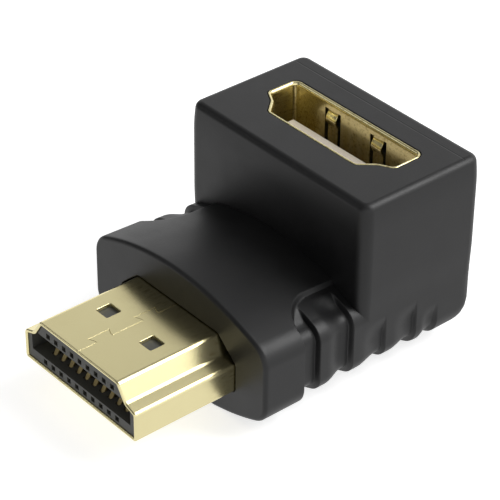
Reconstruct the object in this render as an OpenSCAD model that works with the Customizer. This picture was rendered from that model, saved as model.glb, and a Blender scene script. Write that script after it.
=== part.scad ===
// Right angle adapter for a nineteen-way video plug and socket.
// X runs across the plug, the plug points along -Y and the socket opens along +Z.
// The origin lies under the middle of the whole part, on the face that it rests on.

/* [Plug shell] */
// Length of the plug outside the moulding
plug_reach = 9.5; // [8.5:0.1:11]
// Length of the plug shell inside the moulding
plug_embed = 4.8; // [4.4:0.1:5.2]
// Width of the plug across its wide side
plug_w = 13.9; // [13.5:0.05:14.1]
// Height of the plug
plug_h = 4.45; // [4.3:0.05:4.6]
// Height of the plug's straight side walls
plug_wall_h = 2.63; // [2.5:0.01:2.7]
// Width of the plug across the feet of its slanted sides
plug_foot_w = 11.6; // [11.3:0.05:11.8]
// Height of the feet of the slanted sides
plug_foot_h = 3.03; // [2.95:0.01:3.1]
// Width of the plug across its narrow side
plug_top_w = 9.76; // [9.5:0.02:10]
// Thickness of the folded sheet of both shells
sheet = 0.3; // [0.24:0.01:0.34]
// Side of each square latch window
window_size = 1.4; // [1.1:0.05:1.6]
// Distance from the middle of the plug to the middle of a window
window_x = 2.68; // [2.4:0.02:3.2]
// Distance from the plug's tip to the middle of a window
window_y = 4.97; // [3.5:0.05:6]
// Width of the seam where the folded sheet meets itself
seam_w = 0.06; // [0.04:0.01:0.1]
// Length of each dovetail that locks the seam
dovetail_l = 1.5; // [1:0.1:1.8]
// How far each dovetail reaches to the side
dovetail_reach = 0.75; // [0.5:0.05:0.9]
// Distance from the plug's tip to the first dovetail
dovetail_1 = 1.8; // [1.2:0.1:2.4]
// Distance from the plug's tip to the second dovetail
dovetail_2 = 6.2; // [5:0.1:6.4]
// Length of the solder tabs behind the plug shell
tab_l = 2.6; // [2:0.1:3.2]
// Height of the solder tabs
tab_h = 1.2; // [0.8:0.1:1.4]
// Distance from the top of the straight side walls down to the solder tabs
tab_drop = 0.4; // [0.2:0.1:0.6]

/* [Contacts] */
// Number of contacts in each row on the wide side
wide_count = 10; // [8:1:10]
// Number of contacts in each row on the narrow side
narrow_count = 9; // [7:1:9]
// Distance between neighbouring contacts of a row
pitch = 1; // [0.9:0.01:1.02]
// Width of a contact
contact_w = 0.4; // [0.3:0.02:0.42]
// Thickness of a contact
contact_t = 0.2; // [0.14:0.01:0.22]
// How far a plug contact's nose stands into the slot
nose_rise = 0.3; // [0.15:0.05:0.4]
// Distance from the plug's tip to the end of a plug contact
contact_set = 0.4; // [0.3:0.05:0.6]
// Distance behind the insulator at which a plug contact starts to step to the board
tail_start = 0.15; // [0.1:0.05:0.3]
// Length of that step
tail_step = 0.5; // [0.3:0.05:0.7]
// Length of a plug contact's tail on the board
tail_l = 2.2; // [1.6:0.1:2.8]
// Depth of the socket contacts' ends below the tongue's tip
contact_sink = 0.4; // [0.2:0.05:0.6]
// Height of the bend between a socket contact and its foot
contact_bend = 0.25; // [0.15:0.05:0.3]
// Length of a socket contact's foot on the board
foot_l = 1.5; // [1:0.1:1.8]

/* [Plug insulator] */
// Width of the slot that takes a tongue
slot_w = 12.3; // [11.8:0.05:12.4]
// Height of the slot
slot_h = 1.9; // [1.7:0.05:2]
// Height of the middle of the slot above the plug's wide side
slot_mid = 2.1; // [2.05:0.01:2.15]
// Depth of the slot
slot_l = 8; // [6.5:0.1:9]
// Side of the square hole in front of each contact
hole_size = 0.46; // [0.44:0.01:0.5]
// Height of the middle of the lower holes above the plug's wide side
hole_mid = 0.75; // [0.72:0.01:0.78]
// Thickness of the bar between the holes and the slot's mouth
mouth_bar = 0.9; // [0.6:0.05:1]

/* [Moulding] */
// Width of the front collar
collar_w = 21; // [20.9:0.1:23]
// Length of the front collar
collar_l = 4.1; // [3.6:0.1:4.6]
// Length of the head from its front to the box
head_l = 9.75; // [9.4:0.05:11]
// Height over both arches of the head
arch_h = 11; // [10.8:0.1:12]
// Radius of the arches
arch_r = 24; // [20:0.5:30]
// How much of the lower arch is levelled to rest on
foot_cut = 0.43; // [0.3:0.01:0.6]
// How far the top of the head falls towards the box
head_drop = 0.45; // [0:0.05:0.6]
// Rounding of the head's long edges
head_edge = 1.4; // [0.6:0.1:1.6]
// Width of the upright box
box_w = 20.7; // [20.2:0.05:20.8]
// Depth of the upright box
box_d = 12.2; // [11.8:0.05:13]
// Height of the box above the rest face
box_h = 17.1; // [16:0.1:20]
// Rounding of the box's upright edges
box_edge = 0.9; // [0.5:0.1:1.2]
// Rounding of the box's top edges
box_top_edge = 0.6; // [0.3:0.1:0.8]
// Rounding of the lower rear edge
rear_edge = 1.3; // [0.8:0.1:1.6]
// Rounding of the collar's front edge
front_edge = 0.35; // [0.1:0.05:0.5]
// Wall of the overmould round the inner mould in the box
wall = 1.3; // [1.1:0.05:1.45]

/* [Grip] */
// Distance from the collar to the first grip step
rib_first = 1.6; // [1.5:0.05:1.8]
// Distance between the first four grip steps
rib_pitch = 3.4; // [3.2:0.05:3.5]
// Distance between the last two grip steps
rib_pitch_rear = 2.3; // [2:0.05:2.5]
// Depth of the grip valleys
rib_depth = 0.45; // [0.2:0.05:0.55]
// Length of the steep front of each rib
rib_flank = 0.35; // [0.2:0.05:0.5]
// Length of the flat crest of each rib
rib_crest = 0.45; // [0.2:0.05:0.6]
// Length of the flat valley in front of each rib
rib_valley = 0.35; // [0.2:0.05:0.4]
// Rounding of the ribbed body's long edges
rib_edge = 1.8; // [1:0.1:2]
// How far the arches behind the collar lie lower beside their crown
recess_depth = 0.4; // [0.2:0.05:0.5]
// Distance from the middle to the edge of the crown
recess_x = 7.25; // [6.8:0.05:7.6]
// Rounding of the crown's edge where it meets the collar, seen from above
recess_corner = 2.7; // [1.5:0.1:2.9]
// Height at which the first valley on the box fades out
fade_1 = 7.2; // [6.4:0.1:7.4]
// Height at which the second valley on the box fades out
fade_2 = 6.8; // [5.6:0.1:7.2]
// Height at which the third valley on the box fades out
fade_3 = 5.6; // [4.6:0.1:6.8]
// How much more the sides lean in at a valley's foot than the valley is deep
valley_lean = 2.3; // [2:0.1:2.6]

/* [Socket] */
// Width of the socket shell across its wide side
socket_w = 14.9; // [14.7:0.05:15.1]
// Depth of the socket shell from its wide to its narrow side
socket_d = 5.1; // [5.05:0.05:5.4]
// Length of the socket shell's short side walls
socket_wall_d = 3.1; // [2.9:0.05:3.2]
// Width of the socket shell across the foot of its shoulders
socket_foot_w = 12.4; // [12:0.1:12.6]
// Distance of that foot from the wide side
socket_foot_d = 3.8; // [3.7:0.05:3.9]
// Width of the socket shell across its narrow side
socket_top_w = 10.15; // [10:0.05:10.4]
// How far the socket lies behind the middle of the box
socket_back = 0.1; // [0:0.05:0.5]
// Width of the tongue
tongue_w = 11.6; // [11:0.1:11.8]
// Thickness of the tongue
tongue_t = 1.5; // [1.3:0.05:1.6]
// Depth of the tongue's tip below the rim
tongue_sink = 2.4; // [1.5:0.1:3.5]
// Height of the socket insulator's base
base_h = 3.2; // [2.6:0.1:3.6]
// Distance from the middle of the socket to each spring finger
finger_x = 2.65; // [2.4:0.05:3]
// Width of a spring finger
finger_w = 1.15; // [0.9:0.05:1.3]
// Width of the slits beside a finger
slit_w = 0.35; // [0.25:0.01:0.4]
// Distance from the rim to the root of a finger
finger_root = 0.7; // [0.5:0.05:1]
// Length of a finger
finger_l = 4.6; // [3.5:0.1:5.2]
// Radius of the bead pressed into a finger
bead_r = 0.6; // [0.5:0.05:0.7]
// How far the bead stands into the socket
bead_rise = 0.3; // [0.15:0.05:0.4]
// Length of a solder leg below the socket shell
leg_l = 2.3; // [1.9:0.1:2.5]
// Distance between the two legs of one side
leg_pitch = 1.2; // [1:0.1:1.6]
// Width of a solder leg
leg_w = 0.8; // [0.6:0.05:0.9]

/* [Board and inner mould] */
// Thickness of the circuit board
board_t = 1; // [0.8:0.05:1.1]
// Width of the board under the socket
board_w = 16.4; // [16.2:0.1:16.5]
// Extra wall beside the inner mould, into which the grip's valleys cut
tower_slim = 0.3; // [0.2:0.05:0.4]
// Inner mould left beside the board where the box is narrow
board_rim = 0.1; // [0.05:0.05:0.3]
// Width of the board's neck behind the plug
neck_w = 12.6; // [12:0.1:12.8]
// Width of the inner mould in the head
core_w = 16; // [15.4:0.1:16.4]
// Height of the inner mould in the head
core_h = 6; // [5.8:0.1:6.2]
// Distance from the head's front to the inner mould
core_front = 3; // [2:0.1:3.4]
// Thickness of the moulding over the inner mould, round the rim
rim_cover = 1.8; // [1.2:0.1:2.4]

/* [Clearances] */
// Clearance between pieces that seat in each other
fit = 0.05; // [0.03:0.01:0.06]
// Gap round the socket rim in the top face
rim_gap = 0.12; // [0.05:0.01:0.15]
// Height of the shell's lower edge above the board
shell_lift = 0.6; // [0.5:0.05:0.8]

/* [Hidden] */
overall_l = plug_reach + head_l + box_d;
tip_y = -overall_l / 2;
head_y = tip_y + plug_reach;
collar_y = head_y + collar_l;
box_y = head_y + head_l;
rear_y = overall_l / 2;
arch_mid = arch_h / 2 - foot_cut;
plug_z = arch_mid - plug_h / 2;
shell_end = head_y + plug_embed;
plug_slot_z = plug_z + slot_mid;
// The insulator is held back a little at the mouth, and ends before the shell does.
mouth_set = 0.15;
insulator_set = 0.1;
insulator_end = shell_end - insulator_set;
board_y = shell_end + fit;
board_bottom = plug_slot_z - board_t / 2;
board_top = plug_slot_z + board_t / 2;
socket_y = box_y + box_d / 2 + socket_back;
socket_wide_y = socket_y + socket_d / 2;
shell_z = board_top + shell_lift;
base_z = board_top + fit;
tongue_z = box_h - tongue_sink;
// The tongue lies where the slot of a plug would: sheet and play lie before it.
tongue_y = socket_wide_y - sheet - fit - slot_mid;
core_z = arch_mid - core_h / 2;
tower_top = box_h - rim_cover;
tower_y0 = box_y + wall;
tower_y1 = rear_y - wall;
// The inner mould takes the room inside the box, and never less than the board that it holds.
tower_w = max(box_w - 2 * wall - 2 * tower_slim, board_w + 2 * board_rim);
board_y1 = tower_y1 - wall / 4;
neck_y1 = tower_y0 + wall / 4;
foot_y0 = tongue_y - tongue_t / 2 - foot_l;
foot_y1 = tongue_y + tongue_t / 2 + foot_l;
socket_row_half = (wide_count - 1) * pitch / 2 + contact_w;
// Cutters pass this far through the faces that they open.
over = 1;
// Thickness of the thin sections that skins are drawn between.
skin = 0.02;
// The lower body lies this far inside the walls of the upright box, which reaches down into it.
tuck = 0.02;
box_root = 4;
box_low = top_at(box_y) - box_root;
// The shares of a dovetail's reach and length at which its neck turns and its hook leans out.
neck_share = 0.3;
hook_share = 0.16;
// The middle of a bead lies this many of its radii below the finger's root.
bead_drop = 1.4;
// The smallest bend of a sheet's outline.
least_bend = 0.05;
// Places along a plug contact's nose behind the mouth's bar: foot, rise, top, top's end and fall.
nose_places = [0.05, 0.3, 0.5, 0.85, 1.6];
// Steps of the rounded corners of sheet and of the outlines of the head.
corner_steps = 5;
arch_steps = 8;

// The base shape of both shells, from the wide side up, counter-clockwise.
function shell_points(w, wall_h, foot_w, foot_h, top_w, h) = [
    [-w / 2, 0], [w / 2, 0], [w / 2, wall_h], [foot_w / 2, foot_h],
    [top_w / 2, h], [-top_w / 2, h], [-foot_w / 2, foot_h], [-w / 2, wall_h]
];
plug_points = shell_points(plug_w, plug_wall_h, plug_foot_w, plug_foot_h, plug_top_w, plug_h);
plug_bends = [0.35, 0.35, 0.4, 0.5, 0.45, 0.45, 0.5, 0.4];
socket_points = shell_points(socket_w, socket_wall_d, socket_foot_w, socket_foot_d,
    socket_top_w, socket_d);
socket_bends = [0.7, 0.7, 0.6, 0.8, 0.6, 0.6, 0.8, 0.6];

// Unit vector along an edge, and the turn from one edge to the next.
function along(a, b) = (b - a) / norm(b - a);
function turn(e, f) = atan2(e[0] * f[1] - e[1] * f[0], e * f);

// An outline moved outwards by d, with its corners kept sharp.
function grow(pts, d) = [
    for (i = [0:len(pts) - 1])
        let (
            n = len(pts),
            e = along(pts[(i + n - 1) % n], pts[i]),
            f = along(pts[i], pts[(i + 1) % n]),
            p = [e[1], -e[0]],
            q = [f[1], -f[0]]
        )
        pts[i] + d * (p + q) / (1 + p * q)
];

// An outline with each corner replaced by an arc of its own radius.
function rounded(pts, radii) = [
    for (i = [0:len(pts) - 1])
        let (
            n = len(pts),
            e = along(pts[(i + n - 1) % n], pts[i]),
            f = along(pts[i], pts[(i + 1) % n]),
            a = turn(e, f),
            r = radii[i],
            start = pts[i] - e * r * tan(abs(a) / 2),
            side = [-e[1], e[0]] * (a > 0 ? 1 : -1),
            centre = start + side * r,
            v = start - centre
        )
        for (k = [0:corner_steps])
            let (t = a * k / corner_steps)
            centre + [v[0] * cos(t) - v[1] * sin(t), v[0] * sin(t) + v[1] * cos(t)]
];

// The bend radii of a sheet's outline after it grows by d: outer bends open, inner bends close.
function grown_bends(bends, d) = [
    for (i = [0:len(bends) - 1])
        max(least_bend, bends[i] + d * (i == 3 || i == 6 ? -1 : 1))
];
function plug_outline(d) = rounded(grow(plug_points, d), grown_bends(plug_bends, d));
function socket_outline(d) = rounded(grow(socket_points, d), grown_bends(socket_bends, d));

// A strip of sheet t thick whose middle follows a path.
function strip(path, t) =
    let (
        n = len(path),
        sides = [
            for (i = [0:n - 1])
                let (
                    e = i > 0 ? along(path[i - 1], path[i]) : along(path[0], path[1]),
                    f = i < n - 1 ? along(path[i], path[i + 1]) : e,
                    p = [-e[1], e[0]],
                    q = [-f[1], f[0]]
                )
                (p + q) / (1 + p * q) * t / 2
        ]
    )
    concat(
        [for (i = [0:n - 1]) path[i] + sides[i]],
        [for (i = [n - 1:-1:0]) path[i] - sides[i]]
    );

// A plug contact's path: distance from the mouth, and height above the wide side.
function nose_top() = slot_mid - slot_h / 2 + nose_rise - contact_t / 2;
function plug_contact_path() =
    let (
        ins = insulator_end - tip_y,
        tail = slot_mid - board_t / 2 - fit - contact_t / 2
    )
    [
        [contact_set, hole_mid], [mouth_bar + nose_places[0], hole_mid],
        [mouth_bar + nose_places[1], (hole_mid + nose_top()) / 2],
        [mouth_bar + nose_places[2], nose_top()], [mouth_bar + nose_places[3], nose_top()],
        [mouth_bar + nose_places[4], (hole_mid * 2 + nose_top()) / 3],
        [slot_l - contact_set, hole_mid], [ins + tail_start, hole_mid],
        [ins + tail_start + tail_step, tail], [ins + tail_start + tail_step + tail_l, tail]
    ];

// A socket contact's path: distance from the tongue's middle, and height above the board.
function socket_contact_path() =
    let (
        out = tongue_t / 2 - contact_t / 2,
        low = contact_t / 2 + fit
    )
    [
        [out, tongue_z - board_top - contact_sink], [out, low + contact_bend],
        [out + contact_bend, low],
        [tongue_t / 2 + foot_l, low]
    ];

// A prism along Y with an outline given in X and height.
module prism_y(pts, y0, y1, z = 0) {
    translate([0, y1, z])
        rotate([90, 0, 0])
            linear_extrude(y1 - y0)
                polygon(pts);
}

// A box between two heights and two places along Y, centred across X.
module slab(w, y0, y1, z0, z1, x = 0) {
    translate([x - w / 2, y0, z0])
        cube([w, y1 - y0, z1 - z0]);
}

// A prism along Z with the socket's outline, its wide side at the rear.
module socket_prism(d, z0, z1) {
    translate([0, socket_wide_y, z0])
        mirror([0, 1, 0])
            linear_extrude(z1 - z0)
                polygon(socket_outline(d));
}

// A quarter of the head's outline: an arch, then the rounded long edge.
function arch_quarter(w, r, peak) =
    let (
        flat = w / 2 - r,
        phi = asin(flat / (arch_r - r)),
        corner_z = peak - arch_r + (arch_r - r) * cos(phi)
    )
    concat(
        [for (k = [0:arch_steps - 1])
            let (a = phi * k / arch_steps)
            [arch_r * sin(a), peak - arch_r + arch_r * cos(a)]],
        [for (k = [0:corner_steps])
            let (a = phi + (90 - phi) * k / corner_steps)
            [flat + r * sin(a), corner_z + r * cos(a)]]
    );

// The head's whole outline; its sides lean in by lean at the foot and are straight above fade.
function head_outline(w, r, top, base, lean, fade) =
    let (
        upper = arch_quarter(w, r, top),
        lower = [for (p = arch_quarter(w, r, -base)) [p[0], -p[1]]],
        n = len(upper),
        half = concat(lower, [for (k = [n - 1:-1:0]) upper[k]]),
        right = [
            for (p = half)
                let (s = max(0, (fade - p[1]) / fade))
                [p[0] * (1 - 2 * lean / w * s * s), p[1]]
        ],
        m = len(right)
    )
    concat(right, [for (k = [m - 2:-1:1]) [-right[k][0], right[k][1]]]);

// Top of the arch at a place along Y.
function top_at(y) =
    arch_mid + arch_h / 2 - head_drop * min(1, max(0, (y - head_y) / head_l));

// Where each rib's crest starts.
rib_y = [
    collar_y + rib_first,
    collar_y + rib_first + rib_pitch,
    collar_y + rib_first + 2 * rib_pitch,
    collar_y + rib_first + 3 * rib_pitch,
    collar_y + rib_first + 3 * rib_pitch + rib_pitch_rear
];
// Sections of the moulding: two places along Y, width, edge, top, foot, lean and fade.
function crest(y) =
    [y, y + rib_crest, box_w - 2 * tuck, rib_edge, top_at(y) - recess_depth,
        recess_depth - foot_cut, 0, 1];
function head_valley(y0, y1) =
    [y0, y1, box_w - 2 * rib_depth, rib_edge + rib_depth, top_at(y1) - recess_depth,
        recess_depth - foot_cut, 0, 1];
function box_valley(y, fade) =
    [y - rib_flank - rib_valley, y - rib_flank, box_w - 2 * tuck, rib_edge,
        top_at(y) - recess_depth, recess_depth - foot_cut, rib_depth * valley_lean, fade];
function collar(y, inset) =
    [y - skin, y, collar_w - 2 * inset, head_edge, top_at(y) - inset, inset - foot_cut, 0, 1];
// A section of the rounded rear end, at an angle from 0 at its start to 90 at the rear face.
// The crown's sections end one tuck before it and reach lower by d.
function tail_section(a, d, back) =
    let (
        y = rear_y - back - rear_edge * (1 - sin(a)),
        reach = max(0, y - rear_y + back + box_edge) / box_edge,
        in = back + box_edge * (1 - sqrt(max(0, 1 - reach * reach)))
    )
    [y - skin, y, box_w - 2 * in, rib_edge, top_at(y) - recess_depth + d,
        rear_edge * (1 - cos(a)) - foot_cut + recess_depth - d, 0, 1];
tail_angles = [0, 35, 65, 90];
crown_sections = concat(
    [
        for (a = [0, 50, 90])
            collar(head_y + skin + (front_edge - skin) * (1 - cos(a)), front_edge * (1 - sin(a))),
        collar(box_y + over, 0)
    ],
    [for (a = tail_angles) tail_section(a, recess_depth, 2 * tuck)]
);
rib_sections = concat([
    head_valley(collar_y - over, rib_y[0] - rib_flank),
    crest(rib_y[0]),
    head_valley(rib_y[1] - rib_flank - rib_valley, rib_y[1] - rib_flank),
    crest(rib_y[1]),
    box_valley(rib_y[2], fade_1),
    crest(rib_y[2]),
    box_valley(rib_y[3], fade_2),
    crest(rib_y[3]),
    box_valley(rib_y[4], fade_3),
    crest(rib_y[4])
], [for (a = tail_angles) tail_section(a, 0, tuck)]);

module section_slab(s) {
    prism_y(head_outline(s[2], s[3], s[4], s[5], s[6], s[7]), s[0], s[1]);
}

// Each pair of neighbouring sections is joined by a skin.
module skinned(sections) {
    for (i = [0:len(sections) - 2])
        hull() {
            section_slab(sections[i]);
            section_slab(sections[i + 1]);
        }
}

// The crown seen from above: as wide as the collar, then narrower behind a rounded corner.
module crown_plan() {
    corner = [for (k = [0:arch_steps])
        let (a = 270 - 90 * k / arch_steps)
        [recess_x + recess_corner * (1 + cos(a)), collar_y + recess_corner * (1 + sin(a))]];
    right = concat([[collar_w, head_y - over], [collar_w, collar_y]], corner,
        [[recess_x, rear_y + over]]);
    left = [for (k = [len(right) - 1:-1:0]) [-right[k][0], right[k][1]]];
    translate([0, 0, -over])
        linear_extrude(box_h)
            polygon(concat(right, left));
}

// The lower body: collar and crown over the ribbed body that they leave open at the sides.
module lower_body() {
    intersection() {
        skinned(crown_sections);
        crown_plan();
    }
    skinned(rib_sections);
}

// One upright corner of the box, rounded over at the top.
module box_corner(x, y) {
    translate([x, y, 0])
        rotate_extrude($fn = 32)
            polygon(concat(
                [[0, box_h], [0, box_low], [box_edge, box_low]],
                [for (k = [0:4])
                    let (a = 90 * k / 4)
                    [box_edge - box_top_edge + box_top_edge * cos(a),
                        box_h - box_top_edge + box_top_edge * sin(a)]]
            ));
}
module upright_box() {
    hull()
        for (x = [-1, 1], y = [box_y + box_edge, rear_y - box_edge])
            box_corner(x * (box_w / 2 - box_edge), y);
}

// The outer form of the inner mould, larger by d all round.
module mould_core(d) {
    slab(core_w + 2 * d, head_y + core_front - d, tower_y0 + over, core_z - d, core_z + core_h + d);
    slab(tower_w + 2 * d, tower_y0 - d, tower_y1 + d, core_z - d, tower_top + d);
}

module overmould() {
    color([0.16, 0.16, 0.165])
        difference() {
            union() {
                lower_body();
                upright_box();
            }
            slab(2 * box_w, tip_y, rear_y + over, -2 * over, 0);
            prism_y(plug_outline(fit), head_y - over, head_y + core_front + over, plug_z);
            front_relief();
            mould_core(fit);
            socket_prism(rim_gap, tower_top - over, box_h + over);
        }
}

// The mouth round the plug's root doesn't follow the hollow of its shoulders.
module front_relief() {
    relief = [for (i = [0, 1, 2, 4, 5, 7]) grow(plug_points, fit)[i]];
    prism_y(relief, head_y - over, head_y + over, plug_z);
}

module board_shape(d) {
    y0 = board_y - d;
    slab(neck_w + 2 * d, y0, neck_y1 + over, board_bottom - d, board_top + d);
    slab(board_w + 2 * d, neck_y1 - d, board_y1 + d, board_bottom - d, board_top + d);
}

// The two tabs of the plug shell that lie beside the board's neck.
module plug_tabs(d) {
    for (s = [-1, 1])
        slab(sheet + 2 * d, shell_end - over, shell_end + tab_l + d,
            plug_z + plug_wall_h - tab_drop - tab_h - d, plug_z + plug_wall_h - tab_drop + d,
            s * (plug_w / 2 - sheet / 2));
}

// The four legs of the socket shell, which go through the board.
module socket_legs(d) {
    mid = socket_wide_y - socket_wall_d / 2;
    for (s = [-1, 1], t = [-1, 1])
        translate([s * (socket_w - sheet) / 2, mid + t * leg_pitch / 2, shell_z + over / 2])
            translate([-sheet / 2 - d, -leg_w / 2 - d, -leg_l - over / 2 - d])
                cube([sheet + 2 * d, leg_w + 2 * d, leg_l + over / 2 + 2 * d]);
}

module inner_mould() {
    tail_y1 = insulator_end + tail_start + tail_step + tail_l + 2 * fit;
    tail_rise = plug_h / 2 - sheet;
    color([0.13, 0.13, 0.135])
        difference() {
            mould_core(0);
            prism_y(plug_outline(fit), head_y, shell_end + fit, plug_z);
            slab(socket_row_half * 2 + 4 * fit, shell_end - over, tail_y1,
                plug_slot_z - tail_rise, plug_slot_z + tail_rise);
            board_shape(fit);
            plug_tabs(fit);
            slab(socket_row_half * 2 + 4 * fit, foot_y0 - fit, foot_y1 + fit,
                board_top, board_top + contact_t + 3 * fit);
            socket_prism(fit, board_top, tower_top + over);
            socket_legs(fit);
        }
}

// A window through the sheet, from side z0 to side z1.
module windows(z0, z1) {
    for (s = [-1, 1])
        slab(window_size, tip_y + window_y - window_size / 2, tip_y + window_y + window_size / 2,
            z0, z1, s * window_x);
}

// The seam is straight, with two dovetails that lock its edges.
module seam() {
    z0 = plug_z + plug_h - sheet - fit / 2;
    z1 = plug_z + plug_h + over;
    y_end = shell_end + over;
    starts = [tip_y + dovetail_1, tip_y + dovetail_2];
    stops = [0, starts[0], starts[0] + dovetail_l, starts[1], starts[1] + dovetail_l];
    slab(seam_w, tip_y - over, starts[0] + seam_w / 2, z0, z1);
    slab(seam_w, stops[2] - seam_w / 2, stops[3] + seam_w / 2, z0, z1);
    slab(seam_w, stops[4] - seam_w / 2, y_end, z0, z1);
    for (y = starts)
        translate([0, y, z0])
            linear_extrude(z1 - z0)
                polygon(strip([
                    [0, 0], [-dovetail_reach * neck_share, 0],
                    [-dovetail_reach, -dovetail_l * hook_share],
                    [-dovetail_reach, dovetail_l * (1 + hook_share)],
                    [-dovetail_reach * neck_share, dovetail_l], [0, dovetail_l]
                ], seam_w));
}

module plug_shell() {
    color([0.86, 0.78, 0.5])
        difference() {
            union() {
                prism_y(plug_outline(0), tip_y, shell_end, plug_z);
                plug_tabs(0);
            }
            prism_y(plug_outline(-sheet), tip_y - over, shell_end + over, plug_z);
            windows(plug_z + plug_h - sheet - fit / 2, plug_z + plug_h + over);
            windows(plug_z - over, plug_z + sheet + fit / 2);
            seam();
        }
}

// The channel of one contact: a square hole at the mouth, a groove open to the slot, a bore.
module plug_channel(x) {
    ins = tip_y;
    bore = contact_t + 2 * fit;
    slab(hole_size, ins, ins + mouth_bar + fit, plug_z + hole_mid - hole_size / 2,
        plug_z + hole_mid + hole_size / 2, x);
    slab(hole_size, ins + mouth_bar, ins + slot_l, plug_z + hole_mid - hole_size / 2,
        plug_slot_z, x);
    slab(contact_w + 2 * fit, ins + slot_l - over, insulator_end + over,
        plug_z + hole_mid - bore / 2, plug_z + hole_mid + bore / 2, x);
}

module plug_insulator() {
    color([0.42, 0.42, 0.4])
        difference() {
            prism_y(plug_outline(-sheet - fit), tip_y + mouth_set, insulator_end, plug_z);
            slab(slot_w, tip_y, tip_y + slot_l, plug_slot_z - slot_h / 2, plug_slot_z + slot_h / 2);
            for (i = [1:wide_count])
                plug_channel(row_x(i, wide_count));
            translate([0, 0, 2 * plug_slot_z])
                mirror([0, 0, 1])
                    for (i = [1:narrow_count])
                        plug_channel(row_x(i, narrow_count));
        }
}

// Place of one contact of a row across X.
function row_x(i, n) = (i - (n + 1) / 2) * pitch;

module plug_contact(x) {
    translate([x - contact_w / 2, tip_y, plug_z])
        rotate([90, 0, 90])
            linear_extrude(contact_w)
                polygon(strip(plug_contact_path(), contact_t));
}

module plug_contact_wide(i) {
    color([0.85, 0.66, 0.3])
        plug_contact(row_x(i, wide_count));
}

module plug_contact_narrow(i) {
    color([0.85, 0.66, 0.3])
        translate([0, 0, 2 * plug_slot_z])
            mirror([0, 0, 1])
                plug_contact(row_x(i, narrow_count));
}

module circuit_board() {
    color([0.1, 0.35, 0.2])
        difference() {
            board_shape(0);
            socket_legs(fit);
        }
}

// The slits that free one spring finger: two beside it and one across its end.
module finger_slits(x, y0, y1) {
    top = box_h - finger_root;
    low = top - finger_l;
    for (s = [-1, 1])
        slab(slit_w, y0, y1, low, top, x + s * (finger_w + slit_w) / 2);
    slab(finger_w + 2 * slit_w, y0, y1, low, low + slit_w, x);
}

// The bead of a finger, on the inner face of the sheet at y, towards side.
module bead(x, y, side) {
    intersection() {
        translate([x - finger_w / 2, y - side * (bead_r - bead_rise),
            box_h - finger_root - bead_r * bead_drop])
            rotate([0, 90, 0])
                cylinder(r = bead_r, h = finger_w, $fn = 32);
        slab(finger_w, min(y - side * sheet / 2, y + side * over),
            max(y - side * sheet / 2, y + side * over), tongue_z - over, box_h, x);
    }
}

module socket_shell() {
    wide_in = socket_wide_y - sheet;
    narrow_in = socket_wide_y - socket_d + sheet;
    color([0.72, 0.6, 0.3])
        difference() {
            union() {
                difference() {
                    socket_prism(0, shell_z, box_h);
                    socket_prism(-sheet, shell_z - over, box_h + over);
                    for (s = [-1, 1]) {
                        finger_slits(s * finger_x, wide_in - sheet / 2, socket_wide_y + over);
                        finger_slits(s * finger_x, narrow_in - sheet - over, narrow_in + sheet / 2);
                    }
                }
                for (s = [-1, 1]) {
                    bead(s * finger_x, wide_in, -1);
                    bead(s * finger_x, narrow_in, 1);
                }
                socket_legs(0);
            }
        }
}

// The groove of one socket contact in the tongue and base, and the relief over its foot.
module socket_groove(x) {
    w = contact_w + 2 * fit;
    slab(w, tongue_y - tongue_t / 2 - fit / 2, tongue_y - tongue_t / 2 + contact_t + fit,
        board_top, tongue_z - contact_sink + fit, x);
    slab(w, foot_y0 - over, tongue_y - tongue_t / 2 + contact_t + fit,
        board_top, board_top + contact_t + contact_bend + 2 * fit, x);
}

// What is drawn for the narrow side, turned over for the wide side.
module to_wide_side() {
    translate([0, 2 * tongue_y, 0])
        mirror([0, 1, 0])
            children();
}

module socket_insulator() {
    color([0.85, 0.8, 0.74])
        difference() {
            union() {
                socket_prism(-sheet - fit, base_z, base_z + base_h);
                slab(tongue_w, tongue_y - tongue_t / 2, tongue_y + tongue_t / 2, base_z, tongue_z);
            }
            for (i = [1:narrow_count])
                socket_groove(row_x(i, narrow_count));
            to_wide_side()
                for (i = [1:wide_count])
                    socket_groove(row_x(i, wide_count));
        }
}

module socket_contact(x) {
    translate([x + contact_w / 2, tongue_y, board_top])
        rotate([90, 0, -90])
            linear_extrude(contact_w)
                polygon(strip(socket_contact_path(), contact_t));
}

module socket_contact_narrow(i) {
    color([0.85, 0.66, 0.3])
        socket_contact(row_x(i, narrow_count));
}

module socket_contact_wide(i) {
    color([0.85, 0.66, 0.3])
        to_wide_side()
            socket_contact(row_x(i, wide_count));
}

overmould();
inner_mould();
plug_shell();
plug_insulator();
circuit_board();
socket_shell();
socket_insulator();
for (i = [1:wide_count]) {
    plug_contact_wide(i);
    socket_contact_wide(i);
}
for (i = [1:narrow_count]) {
    plug_contact_narrow(i);
    socket_contact_narrow(i);
}
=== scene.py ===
import bmesh
import bpy
import numpy as np
from mathutils import Matrix, Vector


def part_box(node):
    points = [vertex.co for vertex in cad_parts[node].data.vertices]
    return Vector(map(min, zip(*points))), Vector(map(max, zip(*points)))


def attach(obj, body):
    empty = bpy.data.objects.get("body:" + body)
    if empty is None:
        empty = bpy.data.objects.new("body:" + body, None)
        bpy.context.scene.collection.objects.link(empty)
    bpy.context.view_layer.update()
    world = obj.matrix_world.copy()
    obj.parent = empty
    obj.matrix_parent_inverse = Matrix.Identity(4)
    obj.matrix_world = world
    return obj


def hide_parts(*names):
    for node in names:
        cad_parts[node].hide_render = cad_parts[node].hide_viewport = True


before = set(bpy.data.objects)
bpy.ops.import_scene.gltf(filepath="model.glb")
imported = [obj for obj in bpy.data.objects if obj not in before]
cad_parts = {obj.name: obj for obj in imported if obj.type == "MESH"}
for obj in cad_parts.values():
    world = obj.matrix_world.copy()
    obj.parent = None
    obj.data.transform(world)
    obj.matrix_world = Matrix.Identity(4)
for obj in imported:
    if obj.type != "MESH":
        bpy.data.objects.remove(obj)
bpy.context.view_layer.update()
mm = 0.001  # a millimetre in metres
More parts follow.
